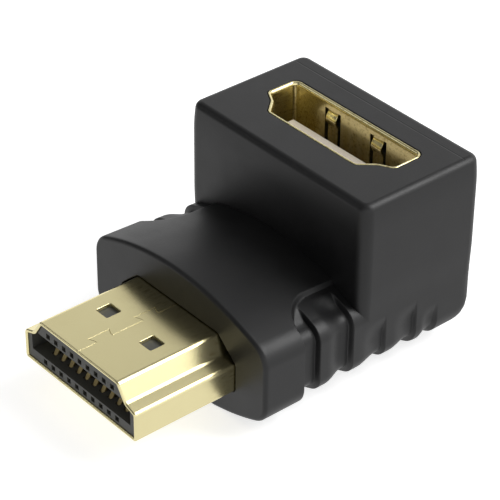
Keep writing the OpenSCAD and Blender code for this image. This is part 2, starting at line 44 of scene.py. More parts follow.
print("frame loaded")


def nodeBox(name):  # a CAD node's lowest and highest corners in millimetres
    low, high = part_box(name)
    return np.array(low) / mm, np.array(high) / mm


moulding = nodeBox("overmould")
plugBox = nodeBox("plug_shell")
socketBox = nodeBox("socket_shell")
coreBox = nodeBox("inner_mould")


# an output socket that adds, subtracts and multiplies, so that masks read as sums
class Wire:
    def __init__(self, paint, socket):
        self.paint = paint
        self.socket = socket

    def __add__(self, other):
        return self.paint.maths("ADD", self, other)

    def __radd__(self, other):
        return self.paint.maths("ADD", other, self)

    def __sub__(self, other):
        return self.paint.maths("SUBTRACT", self, other)

    def __rsub__(self, other):
        return self.paint.maths("SUBTRACT", other, self)

    def __mul__(self, other):
        return self.paint.maths("MULTIPLY", self, other)

    def __rmul__(self, other):
        return self.paint.maths("MULTIPLY", other, self)

    def __abs__(self):
        return self.paint.maths("ABSOLUTE", self)


class Knot:
    def __init__(self, paint, made):
        self.paint = paint
        self.made = made

    def __getitem__(self, name):
        return Wire(self.paint, self.made.outputs[name])


class Paint:
    def __init__(self, name, metallic=0.0, roughness=0.5, specular=0.5):
        self.material = bpy.data.materials.new(name)
        self.material.use_nodes = True
        self.tree = self.material.node_tree
        self.shader = self.tree.nodes["Principled BSDF"]
        self.shader.inputs["Metallic"].default_value = metallic
        self.shader.inputs["Roughness"].default_value = roughness
        self.shader.inputs["Specular IOR Level"].default_value = specular
        self.place = self.node("ShaderNodeTexCoord")["Object"]

    def node(self, kind, settings=None, values=None):
        made = self.tree.nodes.new(kind)
        for key, value in (settings or {}).items():
            if key == "stops":  # a ramp's stops: place and colour
                while len(made.color_ramp.elements) < len(value):
                    made.color_ramp.elements.new(0.5)
                for stop, (at, colour) in zip(made.color_ramp.elements, value):
                    stop.position = at
                    stop.color = (*colour, 1)
            else:
                setattr(made, key, value)
        for key, value in (values or {}).items():
            self.plug(self.socketOf(made, key), value)
        return Knot(self, made)

    def maths(self, operation, a, b=None):
        return self.node("ShaderNodeMath", {"operation": operation}, {0: a, 1: b})["Value"]

    def socketOf(self, made, key):
        if isinstance(key, int):
            return made.inputs[key]
        return next(s for s in made.inputs if s.name == key and s.enabled)

    def plug(self, socket, value):
        if isinstance(value, Wire):
            self.tree.links.new(value.socket, socket)
        elif value is not None:
            socket.default_value = (*value, 1) if socket.type == "RGBA" else value

    def drive(self, **values):
        for key, value in values.items():
            self.plug(self.shader.inputs[key.replace("_", " ")], value)

    def grain(self, size, detail=2.0, stretch=(1, 1, 1)):  # noise whose cells are about size millimetres
        at = self.node("ShaderNodeMapping", {}, {"Vector": self.place, "Scale": stretch})["Vector"]
        return self.node("ShaderNodeTexNoise", {}, {
            "Vector": at, "Scale": 1 / (size * mm), "Detail": detail, "Roughness": 0.55})["Fac"]

    def along(self, axis):  # one Object coordinate in millimetres
        apart = self.node("ShaderNodeSeparateXYZ", {}, {0: self.place})
        return apart[axis] * (1 / mm)

    def step(self, wire, low, high):  # rises smoothly from 0 at low to 1 at high
        return self.node("ShaderNodeMapRange", {"interpolation_type": "SMOOTHSTEP"}, {
            "Value": wire, "From Min": low, "From Max": high})["Result"]

    def mixed(self, factor, one, two):  # colour one where factor is 0, colour two where it is 1
        knot = self.node("ShaderNodeMix", {"data_type": "RGBA"}, {"Factor": factor, "A": one, "B": two})
        return Wire(self, next(s for s in knot.made.outputs if s.enabled))

    def relief(self, height, depth, strength=1.0):  # depth in millimetres between heights 0 and 1
        bump = self.node("ShaderNodeBump", {}, {
            "Height": height, "Distance": depth * mm, "Strength": strength})
        self.drive(Normal=bump["Normal"])


# meshes from whole arrays
def shell(rings, closeRings=False):
    # rings: rows of closed outlines in millimetres; neighbours are joined by quads, and each end gets
    # one face unless the last row joins the first
    rows, cols = rings.shape[:2]
    i = np.arange(rows if closeRings else rows - 1)[:, None]
    j = np.arange(cols)[None, :]
    after, beside = (i + 1) % rows, (j + 1) % cols
    quads = np.stack([i * cols + j, i * cols + beside, after * cols + beside, after * cols + j], -1)
    faces = quads.reshape(-1, 4).tolist()
    if not closeRings:
        faces += [list(range(cols))[::-1], list(range((rows - 1) * cols, rows * cols))]
    return rings.reshape(-1, 3), faces


def makePiece(name, shells):
    mesh = bpy.data.meshes.new(name)
    points, faces, count = [], [], 0
    for corners, sides in shells:
        points.append(corners)
        faces += [[k + count for k in side] for side in sides]
        count += len(corners)
    mesh.from_pydata((np.concatenate(points) * mm).tolist(), [], faces)
    work = bmesh.new()
    work.from_mesh(mesh)
    bmesh.ops.recalc_face_normals(work, faces=work.faces)
    work.to_mesh(mesh)
    work.free()
    piece = bpy.data.objects.new(name, mesh)
    bpy.context.scene.collection.objects.link(piece)
    return piece


def combine(piece, other, operation="DIFFERENCE"):
    cut = piece.modifiers.new("cut", "BOOLEAN")
    cut.operation, cut.solver, cut.object = operation, "EXACT", other
    ready = bpy.context.evaluated_depsgraph_get()
    piece.data = bpy.data.meshes.new_from_object(piece.evaluated_get(ready))
    piece.modifiers.clear()
    bpy.data.objects.remove(other)


def carve(piece, solid):
    combine(piece, makePiece("cutter", [solid]))


def finishPiece(piece, material, replaced, sharp=32):
    piece.data.materials.clear()
    piece.data.materials.append(material)
    piece.data.polygons.foreach_set("use_smooth", np.ones(len(piece.data.polygons), bool))
    piece.data.set_sharp_from_angle(angle=np.radians(sharp))
    piece.modifiers.new("weights", "WEIGHTED_NORMAL").keep_sharp = True
    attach(piece, "root")
    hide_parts(replaced)
    print(piece.name, "made,", len(piece.data.polygons), "faces")


# how far a cutter stands clear of the piece outside, and how far it goes past a sheet's other side
cutting = {"clear": 1.0, "past": 0.1}
smallestBend = 0.03


def cuboid(low, high):  # a plain block between two corners
    x = np.array([low[0], high[0], high[0], low[0]])
    y = np.array([low[1], low[1], high[1], high[1]])
    rings = np.stack([np.stack([x, y, np.full(4, z)], -1) for z in (low[2], high[2])])
    return shell(rings)


def rectangle(width, depth):
    x, y = width / 2, depth / 2
    return [(-x, -y), (x, -y), (x, y), (-x, y)]


def arcOutline(corners, bends, grow, inward=(), steps=8):
    # each edge moves outwards by grow, then each corner becomes an arc: the arc's middle lies one
    # radius inside both edges, and its points turn by equal angles from one edge to the next
    p = np.asarray(corners, float)
    e = p - np.roll(p, 1, 0)
    e /= np.linalg.norm(e, axis=1)[:, None]
    f = np.roll(e, -1, 0)
    ne, nf = np.stack([e[:, 1], -e[:, 0]], -1), np.stack([f[:, 1], -f[:, 0]], -1)
    p = p + grow * (ne + nf) / (1 + (ne * nf).sum(1))[:, None]
    sign = np.ones(len(p))
    sign[list(inward)] = -1
    radius = np.maximum(smallestBend, np.asarray(bends) + grow * sign)
    turn = np.arctan2(e[:, 0] * f[:, 1] - e[:, 1] * f[:, 0], (e * f).sum(1))
    start = p - e * (radius * np.tan(np.abs(turn) / 2))[:, None]
    middle = start - ne * (np.sign(turn) * radius)[:, None]
    v = start - middle
    a = turn[:, None] * np.linspace(0, 1, steps)[None, :]
    x = middle[:, :1] + v[:, :1] * np.cos(a) - v[:, 1:] * np.sin(a)
    y = middle[:, 1:] + v[:, :1] * np.sin(a) + v[:, 1:] * np.cos(a)
    return np.stack([x.ravel(), y.ravel()], -1)


def carried(outlineAt, profile, lay, closeRings=False):
    # a profile of (place, growth) pairs: at each one the outline grows so much and is laid at that place
    rings = np.stack([lay(outlineAt(growth), place) for place, growth in profile])
    return shell(rings, closeRings)


def atHeight(outline, z):
    return np.column_stack([outline, np.full(len(outline), z)])


def lipProfile(far, lip, thick, outer=0.5, fall=0.5, steps=7):
    # a sheet seen in section: outer side, a quarter circle up to the lip, a quarter ellipse down to the
    # inner side; outer and fall are shares of the thickness
    a = np.linspace(0, np.pi / 2, steps)
    side = 1 if lip > far else -1
    bow, rest = outer * thick, (1 - outer) * thick
    place = np.concatenate([[far], lip - side * bow * (1 - np.sin(a)),
                            lip - side * fall * thick * (1 - np.cos(a[1:])), [far]])
    growth = np.concatenate([[0], -bow * (1 - np.cos(a)), -bow - rest * np.sin(a[1:]), [-thick]])
    return np.stack([place, growth], -1)


def flareProfile(top, low, growth, flare, steps=6):
    # a cutter's profile from above the face at top down to low, opened by a round lip at the face
    a = np.linspace(0, np.pi / 2, steps)
    side = 1 if top > low else -1
    place = np.concatenate([[top + side * cutting["clear"]], top - side * flare * (1 - np.cos(a)), [low]])
    wide = np.concatenate([[growth + flare], growth + flare * (1 - np.sin(a)), [growth]])
    return np.stack([place, wide], -1)


# the plug's folded sheet
plug = {
    "wallHeight": 2.63, "footWidth": 11.6, "footHeight": 3.03, "topWidth": 9.76,
    "bends": [0.35, 0.35, 0.4, 0.5, 0.45, 0.45, 0.5, 0.4], "sheet": 0.3,
    "window": 1.4, "windowX": 2.68, "windowY": 4.97, "windowCorner": 0.14, "windowLip": 0.05,
    "seamWidth": 0.015, "seamMouth": 0.05, "seamLip": 0.03,
    "seamFlare": 1.5, "dovetails": (1.8, 6.2), "dovetailLength": 1.5, "dovetailReach": 0.75,
    "dovetailNeck": 0.3, "dovetailLean": 0.16,  # shares of the reach and of the length
    "embed": 4.8, "reach": 9.5, "tab": 2.6, "tabLow": 1.03, "tabHigh": 2.23, "tabOverlap": 0.5,
}
plugWidth = 2 * plugBox[1][0]
plugHeight = plugBox[1][2] - plugBox[0][2]
tipY, plugZ = plugBox[0][1], plugBox[0][2]
shellEnd = tipY + plug["reach"] + plug["embed"]


def sheetCorners(width, wall, footWidth, foot, topWidth, height):
    # from the wide side up: straight walls, a step in to the foot, slanted shoulders, the narrow side
    half = [(width / 2, 0), (width / 2, wall), (footWidth / 2, foot), (topWidth / 2, height)]
    return [(-width / 2, 0)] + half + [(-x, y) for x, y in half[:0:-1]]


feet = (3, 6)  # the corners at which the outline bends inwards
plugCorners = sheetCorners(plugWidth, plug["wallHeight"], plug["footWidth"], plug["footHeight"],
                           plug["topWidth"], plugHeight)


def plugOutline(grow):
    return arcOutline(plugCorners, plug["bends"], grow, inward=feet)


def alongY(outline, y):
    return np.stack([outline[:, 0], np.full(len(outline), y), plugZ + outline[:, 1]], -1)


def windowCutter(x, top, low):
    corners = rectangle(plug["window"], plug["window"])
    middle = np.array([x, tipY + plug["windowY"]])
    profile = flareProfile(top, low, 0, plug["windowLip"])
    return carried(lambda grow: arcOutline(corners, [plug["windowCorner"]] * 4, grow) + middle,
                   profile, atHeight)


def seamCutter():
    # the seam's path with its two dovetails, widened to both sides by mitres; the section is a V
    # that opens at the face above a narrow gap through the sheet
    reach, length = plug["dovetailReach"], plug["dovetailLength"]
    neck, lean = reach * plug["dovetailNeck"], length * plug["dovetailLean"]
    path = [(0, tipY - cutting["clear"])]
    for start in plug["dovetails"]:
        y = tipY + start
        path += [(0, y), (-neck, y), (-reach, y - lean),
                 (-reach, y + length + lean), (-neck, y + length), (0, y + length)]
    p = np.array(path + [(0, shellEnd + cutting["clear"])])
    e = np.diff(p, axis=0)
    e /= np.linalg.norm(e, axis=1)[:, None]
    e, f = np.vstack([e[:1], e]), np.vstack([e, e[-1:]])
    ne, nf = np.stack([e[:, 1], -e[:, 0]], -1), np.stack([f[:, 1], -f[:, 0]], -1)
    mitre = (ne + nf) / (1 + (ne * nf).sum(1))[:, None]
    top = plugZ + plugHeight
    wide, gap, lip = plug["seamMouth"] / 2, plug["seamWidth"] / 2, plug["seamLip"]
    above, under = wide * plug["seamFlare"], -plug["sheet"] - cutting["past"]
    across = np.array([-above, -gap, -gap, gap, gap, above])
    level = top + np.array([lip / 2, -lip, under, under, -lip, lip / 2])
    flat = p[:, None, :] + mitre[:, None, :] * across[None, :, None]
    return shell(np.concatenate([flat, np.broadcast_to(level[None, :, None], (len(p), 6, 1))], -1))


def makePlugSheet(material):
    thick, past = plug["sheet"], cutting["past"]
    piece = makePiece("plugSheet", [carried(plugOutline, lipProfile(shellEnd, tipY, thick), alongY, True)])
    top = plugZ + plugHeight
    for x in (-plug["windowX"], plug["windowX"]):
        carve(piece, windowCutter(x, top, top - thick - past))
        carve(piece, windowCutter(x, plugZ, plugZ + thick + past))
    carve(piece, seamCutter())
    for side in (-1, 1):
        outer, inner = side * plugWidth / 2, side * (plugWidth / 2 - thick)
        tab = makePiece("tab", [cuboid(
            (min(outer, inner), shellEnd - plug["tabOverlap"], plugZ + plug["tabLow"]),
            (max(outer, inner), shellEnd + plug["tab"], plugZ + plug["tabHigh"]))])
        combine(piece, tab, "UNION")
    finishPiece(piece, material, "plug_shell")


# the socket's folded sheet
socket = {
    "wallHeight": 3.1, "footWidth": 12.4, "footHeight": 3.8, "topWidth": 10.15,
    "bends": [0.7, 0.7, 0.6, 0.8, 0.6, 0.6, 0.8, 0.6], "sheet": 0.3,
    "fingerX": 2.65, "fingerWidth": 1.15, "slit": 0.35, "fingerRoot": 0.7, "fingerLength": 4.6,
    "beadDrop": 1.5, "beadRise": 0.3, "beadHalf": 0.75, "lift": 0.6,
    "stripHold": 0.2, "stripThinner": 0.02, "stripBend": 0.05, "stripRows": 60,
    "legWidth": 0.8, "legLength": 2.3, "legSpread": 0.75, "legOverlap": 0.5,  # spread: share of the width
    "rimGap": 0.07, "rimFlare": 0.07, "lipOuter": 0.25, "lipFall": 1.2,
}
socketWidth = 2 * socketBox[1][0]
socketDepth = socketBox[1][1] - socketBox[0][1]
wideY, boxTop = socketBox[1][1], moulding[1][2]
sheetFoot = nodeBox("circuit_board")[1][2] + socket["lift"]
socketCorners = sheetCorners(socketWidth, socket["wallHeight"], socket["footWidth"],
                             socket["footHeight"], socket["topWidth"], socketDepth)


def socketOutline(grow):
    return arcOutline(socketCorners, socket["bends"], grow, inward=feet)


def alongZ(outline, z):
    return np.stack([outline[:, 0], wideY - outline[:, 1], np.full(len(outline), z)], -1)


def fingerStrip(x, face, inward):
    # a strip of sheet down the finger: its middle follows a raised cosine, the bead, towards the opening
    thick = socket["sheet"] - socket["stripThinner"]
    root = boxTop - socket["fingerRoot"]
    z = np.linspace(root + socket["stripHold"], root - socket["fingerLength"] + socket["slit"],
                    socket["stripRows"])
    reach = np.clip((z - boxTop + socket["beadDrop"]) / socket["beadHalf"], -1, 1)
    bend = socket["beadRise"] * (0.5 + 0.5 * np.cos(np.pi * reach))
    around = arcOutline(rectangle(socket["fingerWidth"], thick), [socket["stripBend"]] * 4, 0, steps=4)
    y = face + inward * (bend[:, None] - socket["sheet"] / 2) + around[None, :, 1]
    xs = np.broadcast_to(x + around[None, :, 0], y.shape)
    return shell(np.stack([xs, y, np.broadcast_to(z[:, None], y.shape)], -1))


def makeSocketSheet(material):
    thick = socket["sheet"]
    profile = lipProfile(sheetFoot, boxTop, thick, socket["lipOuter"], socket["lipFall"])
    piece = makePiece("socketSheet", [carried(socketOutline, profile, alongZ, True)])
    wideIn, narrowIn = wideY - thick, wideY - socketDepth + thick
    past, clear = cutting["past"], cutting["clear"]
    high = boxTop - socket["fingerRoot"]
    low, half = high - socket["fingerLength"], socket["fingerWidth"] / 2 + socket["slit"]
    for x in (-socket["fingerX"], socket["fingerX"]):
        for front, back in ((wideIn - past, wideY + clear), (narrowIn - thick - clear, narrowIn + past)):
            carve(piece, cuboid((x - half, front, low), (x + half, back, high)))
    parts = []
    for x in (-socket["fingerX"], socket["fingerX"]):
        parts += [fingerStrip(x, wideIn, -1), fingerStrip(x, narrowIn, 1)]
    middle = wideY - socket["wallHeight"] / 2
    for side in (-1, 1):
        for way in (-1, 1):
            x = side * (socketWidth - thick) / 2
            y = middle + way * socket["legWidth"] * socket["legSpread"]
            reach = np.array([thick / 2, socket["legWidth"] / 2, 0])
            parts.append(cuboid(np.array([x, y, sheetFoot - socket["legLength"]]) - reach,
                                np.array([x, y, sheetFoot + socket["legOverlap"]]) + reach))
    extra = makePiece("fingers", parts)
    work = bmesh.new()
    work.from_mesh(piece.data)
    work.from_mesh(extra.data)
    work.to_mesh(piece.data)
    work.free()
    bpy.data.objects.remove(extra)
    finishPiece(piece, material, "socket_shell")


# the black moulding
body = {
    "collarLength": 4.1, "archRadius": 24.0, "archEdge": 2.0, "topZ": 10.57, "footZ": -0.43, "drop": 0.45,
    "headLength": 9.75, "frontEdge": 0.35, "rearEdge": 1.7, "boxWidth": 20.7, "boxEdge": 0.95,
    "topEdge": 0.55, "boxLow": 6.33, "topDraw": 0.2, "drawHeight": 2.6, "bow": 0.07, "bowRise": 3.0,
    "tuck": 0.004,  # the lower body lies so much inside the box, so that the two never share a face
    # each rib: where its crest starts behind the collar, its steep front, its crest, its fall
    "ribs": ((1.57, 0.14, 0.8, 2.0), (4.97, 0.14, 0.8, 2.0), (8.37, 0.14, 0.8, 2.0), (11.67, 0.14, 0.5, 1.2),
             (14.0, 0.3, 0.6, 0.0)),
    "ribDepth": 0.5, "soften": 0.07,
    # up the box's walls the valleys fade out to nothing at these heights; the height changes so far
    # behind the start of the third and of the fourth crest
    "fades": (6.32, 6.2, 5.0), "fadeChanges": (0.6, 0.4), "fadeLength": 2.0, "boxBlend": 0.5,
    "lastFrom": 0.4, "lastRun": 0.5, "lastFoot": 2.2, "lastFade": 1.6,
    "shallow": 0.4, "shallowFrom": 1.0, "shallowRun": 2.0,
    "archStep": 0.4, "stepEnd": (10.2, 2.2), "valleyX": 7.6, "valleyRun": 1.4,
    "recessX": 7.1, "recessCorner": 2.9, "recessRamp": 0.35,
    "passageGap": 0.05, "passageFlare": 0.1, "reliefDepth": 1.0,
    "coreWidth": 16.0, "coreTop": 8.07, "towerFront": 4.825, "coreGap": 0.05,
}
# where and how closely the moulding is worked out, in millimetres or rows
grid = {
    "plainStep": 0.15, "recessFrom": -0.3, "recessTo": 3.2, "recessStep": 0.07,
    "ribBefore": 0.08, "ribAfter": 0.1, "ribStep": 0.024, "endGap": 0.01, "leastStep": 0.02,
    "lowArch": (6, 5, 6.6, 0.25), "topArch": (6.4, 9, 6.7, 0.09),  # even up to, count, then from, step
    "archEnd": 12, "edgeGap": 0.05, "edgeRows": 20, "wallRows": 20, "roundRows": 8,
    "fallRows": 9, "ribSamples": 4000, "boxRows": 24, "boxRoundRows": 9, "boxCornerRows": 12,
}
headY, rearY = moulding[0][1], moulding[1][1]
collarY, boxY = headY + body["collarLength"], headY + body["headLength"]


def smooth(t):
    t = np.clip(t, 0, 1)
    return t * t * (3 - 2 * t)


def archPlaces(flatTo, count, start, step):
    return np.concatenate([np.linspace(0, flatTo, count), np.arange(start, grid["archEnd"], step)])


def archHalf(width, inner):
    # right half from the middle outwards: the arch is a circle's arc, sampled at the given places, then
    # the edge's arc turns on to the side wall; heights are measured from the peak
    radius, edge = body["archRadius"], body["archEdge"]
    flat = width / 2 - edge
    phi = np.arcsin(flat / (radius - edge))
    x = inner[inner < radius * np.sin(phi) - grid["edgeGap"]]
    z = np.sqrt(radius ** 2 - x ** 2) - radius
    a = np.linspace(phi, np.pi / 2, grid["edgeRows"])
    xe = flat + edge * np.sin(a)
    ze = -radius + (radius - edge) * np.cos(phi) + edge * np.cos(a)
    return np.concatenate([x, xe]), np.concatenate([z, ze])


def ribDip(y):
    # 0 on a crest, 1 in a valley: steep up each front, flat crest, a fall that bends away from the crest
    # and runs out softly, flat valley; then softened by a bell-shaped average
    at, dip = [collarY - grid["endGap"]], [1.0]
    t = np.linspace(0, 1, grid["fallRows"])
    for start, front, crest, fall in body["ribs"]:
        at += [collarY + start - front, collarY + start, collarY + start + crest]
        dip += [1.0, 0.0, 0.0]
        if fall:
            at += list(collarY + start + crest + fall * t[1:])
            dip += list(smooth(t[1:]))
    fine = np.linspace(headY, rearY, grid["ribSamples"])
    raw = np.interp(fine, at, dip)
    span = np.arange(-1.5 * body["soften"], 1.5 * body["soften"], fine[1] - fine[0])
    weight = np.exp(-(span / (0.5 * body["soften"])) ** 2)
    pad = len(span) // 2
    soft = np.convolve(np.pad(raw, pad, "edge"), weight / weight.sum(), "same")[pad: pad + len(fine)]
    return np.interp(y, fine, soft)


def bodyPlaces(low, high):
    # places along Y, close together at the ribs' fronts and at the recess's rounded start
    y = [np.arange(low, high, grid["plainStep"]),
         np.arange(collarY + grid["recessFrom"], collarY + grid["recessTo"], grid["recessStep"])]
    for start, front in (rib[:2] for rib in body["ribs"]):
        y.append(np.arange(collarY + start - front - grid["ribBefore"], collarY + start + grid["ribAfter"],
                           grid["ribStep"]))
    y = np.unique(np.round(np.concatenate(y), 3))
    y = y[(y > low + grid["endGap"]) & (y < high - grid["endGap"])]
    return np.concatenate([[low], y[np.diff(y, prepend=-np.inf) > grid["leastStep"]], [high]])


def lowerBody():
    # the collar's arched outline at every place along Y, moved inwards along its own normal by:
    # the front rounding, the recess that starts behind the collar, its rib valleys, and the rear rounding
    a = np.linspace(0, np.pi / 2, grid["roundRows"])
    front = headY + body["frontEdge"] * (1 - np.cos(a))
    frontIn = body["frontEdge"] * (1 - np.sin(a))
    plain = bodyPlaces(front[-1], rearY - body["tuck"] - body["rearEdge"])[1:]
    rear = rearY - body["tuck"] - body["rearEdge"] * (1 - np.sin(a[1:]))
    y = np.concatenate([front, plain, rear])
    frontIn = np.concatenate([frontIn, np.zeros(len(plain) + len(rear))])
    lift = np.concatenate([np.zeros(len(front) + len(plain)), body["rearEdge"] * (1 - np.cos(a[1:]))])
    curl = np.clip((y - rearY + body["tuck"] + body["boxEdge"]) / body["boxEdge"], 0, 1)
    rearIn = body["boxEdge"] * (1 - np.sqrt(1 - curl ** 2))
    width = 2 * moulding[1][0]
    xLow, zLow = archHalf(width, archPlaces(*grid["lowArch"]))
    xTop, zTop = archHalf(width, archPlaces(*grid["topArch"]))
    top = body["topZ"] - body["drop"] * np.clip((y - headY) / body["headLength"], 0, 1)
    lower = body["footZ"] + lift[:, None] - zLow[None, :]
    upper = top[:, None] + zTop[None, ::-1]
    wall = np.linspace(0, 1, grid["wallRows"] + 2)[None, 1:-1]
    side = lower[:, -1:] + (upper[:, :1] - lower[:, -1:]) * wall
    halfZ = np.concatenate([lower, side, upper], 1)
    halfX = np.concatenate([xLow, np.full(grid["wallRows"], xLow[-1]), xTop[::-1]])
    ringX = np.broadcast_to(np.concatenate([halfX, -halfX[-2:0:-1]]), (len(y), 2 * len(halfX) - 2))
    ringZ = np.concatenate([halfZ, halfZ[:, -2:0:-1]], 1)
    tx, tz = np.roll(ringX, -1, 1) - np.roll(ringX, 1, 1), np.roll(ringZ, -1, 1) - np.roll(ringZ, 1, 1)
    size = np.hypot(tx, tz)
    # beyond is the distance past the recess's border, which turns round a corner behind the collar
    corner = body["recessCorner"]
    qx = body["recessX"] + corner - np.abs(ringX)
    qy = (collarY + corner - y)[:, None] + 0 * qx
    beyond = np.hypot(np.maximum(qx, 0), np.maximum(qy, 0)) - corner + np.minimum(np.maximum(qx, qy), 0)
    recess = smooth(0.5 - beyond / body["recessRamp"])
    starts = [collarY + rib[0] for rib in body["ribs"]]
    before = [y < start + change for start, change in zip(starts[2:4], body["fadeChanges"])]
    fade = np.select(before, body["fades"][:2], body["fades"][2])[:, None]
    inBox = smooth((y - boxY) / body["boxBlend"])[:, None]
    onArch = smooth((np.abs(ringX) - body["valleyX"]) / body["valleyRun"])
    share = onArch * (1 - inBox + inBox * smooth((fade - ringZ) / body["fadeLength"]))
    # the valley before the last rib stops above the underside, and the step runs out before it
    last = smooth((y - starts[3] - body["lastFrom"]) / body["lastRun"])[:, None]
    share = share * (1 - last * smooth((body["lastFoot"] - ringZ) / body["lastFade"]))
    lessDeep = smooth((ringZ - body["shallowFrom"]) / body["shallowRun"])
    share = share * (1 - body["shallow"] * inBox * lessDeep)
    out = smooth((y - collarY - body["stepEnd"][0]) / body["stepEnd"][1])[:, None]
    sideStep = moulding[1][0] - body["boxWidth"] / 2
    step = (sideStep * tz ** 2 + body["archStep"] * (1 - out) * tx ** 2) / size ** 2
    inset = recess * (step + body["ribDepth"] * ribDip(y)[:, None] * share)
    inset = inset + frontIn[:, None] + rearIn[:, None] + body["tuck"] * (y > boxY)[:, None]
    rings = np.stack([ringX - tz / size * inset, np.broadcast_to(y[:, None], ringX.shape),
                      np.maximum(0, ringZ + tx / size * inset)], -1)
    return shell(rings)


def uprightBox():
    # a rounded rectangle carried upwards: it bows out a little above its foot, draws in by the square of
    # the height over the last part, and ends in a quarter circle at the top edge
    half, edge = body["boxWidth"] / 2, body["topEdge"]
    corners = [(-half, boxY), (half, boxY), (half, rearY), (-half, rearY)]
    a = np.linspace(0, np.pi / 2, grid["boxRoundRows"])
    straight = np.linspace(body["boxLow"], boxTop - edge, grid["boxRows"])[:-1]
    z = np.concatenate([straight, boxTop - edge * (1 - np.sin(a))])
    inside = np.concatenate([np.zeros(len(straight)), edge * (1 - np.cos(a))])
    draw = body["topDraw"] * np.clip((z - boxTop + body["drawHeight"]) / body["drawHeight"], 0, 1) ** 2
    bow = body["bow"] * smooth((z - body["boxLow"]) / body["bowRise"])
    return carried(lambda grow: arcOutline(corners, [body["boxEdge"]] * 4, grow, steps=grid["boxCornerRows"]),
                   list(zip(z, bow - inside - draw)), atHeight)


def makeMouldedBody(material):
    piece = makePiece("mouldedBody", [lowerBody()])
    combine(piece, makePiece("upper", [uprightBox()]), "UNION")
    work = bmesh.new()
    work.from_mesh(piece.data)
    bmesh.ops.remove_doubles(work, verts=work.verts, dist=2 * body["tuck"] * mm)
    work.to_mesh(piece.data)
    work.free()
    gap, flare, clear = body["passageGap"], body["passageFlare"], cutting["clear"]
    carve(piece, carried(plugOutline, flareProfile(headY, coreBox[0][1] + clear, gap, flare), alongY))
    # the relief round the plug leaves out the two inward corners of its outline
    kept = [i for i in range(len(plugCorners)) if i not in feet]
    plain, bends = [plugCorners[i] for i in kept], [plug["bends"][i] for i in kept]
    relief = flareProfile(headY, headY + body["reliefDepth"], gap, flare)
    carve(piece, carried(lambda grow: arcOutline(plain, bends, grow), relief, alongY))
    d = body["coreGap"]
    low, high = coreBox[0] - d, coreBox[1] + d
    tower = cuboid((low[0], body["towerFront"] - d, low[2]), high)
    neck = cuboid((-body["coreWidth"] / 2 - d, low[1], low[2]),
                  (body["coreWidth"] / 2 + d, body["towerFront"] + clear, body["coreTop"] + d))
    for block in (tower, neck):
        carve(piece, block)
    mouth = flareProfile(boxTop, high[2] - clear, socket["rimGap"], socket["rimFlare"])
    carve(piece, carried(socketOutline, mouth, alongZ))
    finishPiece(piece, material, "overmould", sharp=38)


# finishes
def blackPlastic():
    look = {"colour": (0.0052, 0.0053, 0.0057), "worn": (0.0085, 0.0085, 0.0088), "cloud": 2.5,
            "grain": 0.16, "line": 1.55, "lineHalf": 0.03, "lineSoft": 0.08, "lineRise": 2.5, "depth": 0.012}
    paint = Paint("blackPlastic", roughness=0.45, specular=0.45)
    cloud, fine = paint.grain(look["cloud"], 3), paint.grain(look["grain"], 2)
    # the witness line runs across the box's top face alone
    high = paint.step(paint.along("Z"), boxTop - 0.1, boxTop - 0.02)
    away = abs(paint.along("Y") - (rearY - look["line"]))
    witness = 1 - paint.step(away, look["lineHalf"], look["lineSoft"])
    paint.drive(Base_Color=paint.mixed(cloud, look["colour"], look["worn"]),
                Roughness=0.34 + 0.14 * cloud + 0.08 * fine)
    paint.relief(fine * 0.6 + cloud * 0.2 - high * witness * look["lineRise"], look["depth"], 0.45)
    return paint.material


def goldSheet():
    # plain plate; towards the moulding it turns browner and darker in fine streaks that run along Y
    look = {"pale": (0.83, 0.75, 0.43), "deep": (0.74, 0.64, 0.33), "brown": (0.42, 0.33, 0.13),
            "rootBefore": 3.2, "rootBehind": 0.4, "depth": 0.006}
    paint = Paint("goldSheet", metallic=1.0, roughness=0.22)
    cloud, brush = paint.grain(3.0, 3), paint.grain(0.22, 3, (1, 0.3, 1))
    root = paint.step(paint.along("Y"), headY - look["rootBefore"], headY + look["rootBehind"])
    streak = paint.step(brush, 0.5, 0.75) * root
    plate = paint.mixed(cloud * 0.4, look["pale"], look["deep"])
    paint.drive(Base_Color=paint.mixed(streak * 0.8, plate, look["brown"]),
                Roughness=0.18 + 0.08 * cloud + 0.05 * brush)
    paint.relief(brush * (0.15 + root), look["depth"], 0.3)
    return paint.material


def contactGold():
    paint = Paint("contactGold", metallic=1.0, roughness=0.3)
    fine = paint.grain(0.2)
    paint.drive(Base_Color=paint.mixed(fine, (0.72, 0.58, 0.28), (0.6, 0.46, 0.2)),
                Roughness=0.24 + 0.12 * fine)
    return paint.material


def softPlastic(name, light, dark, rough):
    paint = Paint(name, roughness=rough, specular=0.4)
    cloud, fine = paint.grain(1.2), paint.grain(0.1)
    paint.drive(Base_Color=paint.mixed(cloud, light, dark), Roughness=rough - 0.06 + 0.12 * fine)
    paint.relief(fine, 0.004, 0.4)
    return paint.material


def boardLaminate():
    paint = Paint("boardLaminate", roughness=0.4)
    weave = paint.grain(0.4, 1, (1, 0.3, 1))
    paint.drive(Base_Color=paint.mixed(weave, (0.02, 0.12, 0.05), (0.03, 0.18, 0.08)),
                Roughness=0.34 + 0.1 * weave)
    return paint.material


def dressNode(name, material):
    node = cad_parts[name]
    if not node.material_slots:
        node.data.materials.append(material)
    for slot in node.material_slots:
        slot.material = material


makeMouldedBody(blackPlastic())
gold = goldSheet()
makePlugSheet(gold)
makeSocketSheet(gold)
contact = contactGold()
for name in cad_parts:
    if "contact" in name:
        dressNode(name, contact)
dressNode("plug_insulator", softPlastic("greyInsulator", (0.115, 0.116, 0.105), (0.09, 0.09, 0.083), 0.5))
dressNode("socket_insulator", softPlastic("paleInsulator", (0.80, 0.73, 0.65), (0.72, 0.65, 0.57), 0.5))
dressNode("inner_mould", softPlastic("innerMould", (0.02, 0.02, 0.02), (0.03, 0.03, 0.03), 0.6))
dressNode("circuit_board", boardLaminate())
print("finishes set")


